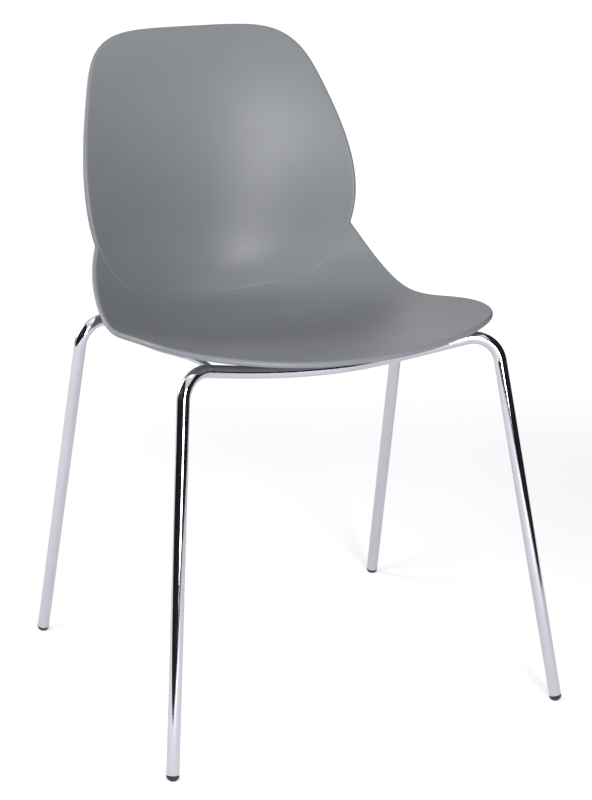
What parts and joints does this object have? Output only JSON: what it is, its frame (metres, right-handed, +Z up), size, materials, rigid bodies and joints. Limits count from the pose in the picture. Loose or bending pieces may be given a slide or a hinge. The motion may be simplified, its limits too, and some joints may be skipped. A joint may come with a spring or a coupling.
{
  "type": "moulded plastic shell chair",
  "caption": "Side chair with a moulded plastic seat-and-back shell, an overlapping back panel line, and a chromed round-tube leg frame on domed plastic feet",
  "frame": {"origin": "centre of the bounding box in plan, on the floor", "axes": "+Z up; the chair faces -Y, so a sitter looks along -Y; +X is on the right when the chair is seen from its front; X = 0 is the plane of symmetry"},
  "size_m": [0.5446, 0.5652, 0.8151],
  "materials": {
    "shell_plastic": "fine satin grain, mid grey",
    "chrome_tube": "polished chrome plate",
    "foot_plastic": "black moulded plug, slightly glossy",
    "fastener_steel": "zinc plated",
    "insert_brass": "turned brass"
  },
  "bodies": {
    "root": {"seat_shell": "shell_plastic", "front_leg_tube": "chrome_tube", "rear_leg_tube": "chrome_tube", "left_side_rail": "chrome_tube", "right_side_rail": "chrome_tube", "mount_tab_front_left": "chrome_tube", "mount_tab_front_right": "chrome_tube", "mount_tab_rear_left": "chrome_tube", "mount_tab_rear_right": "chrome_tube", "front_left_foot": "foot_plastic", "front_right_foot": "foot_plastic", "rear_left_foot": "foot_plastic", "rear_right_foot": "foot_plastic", "shell_screws": "fastener_steel", "screw_washers": "fastener_steel", "threaded_inserts": "insert_brass"}
  },
  "joints": []
}
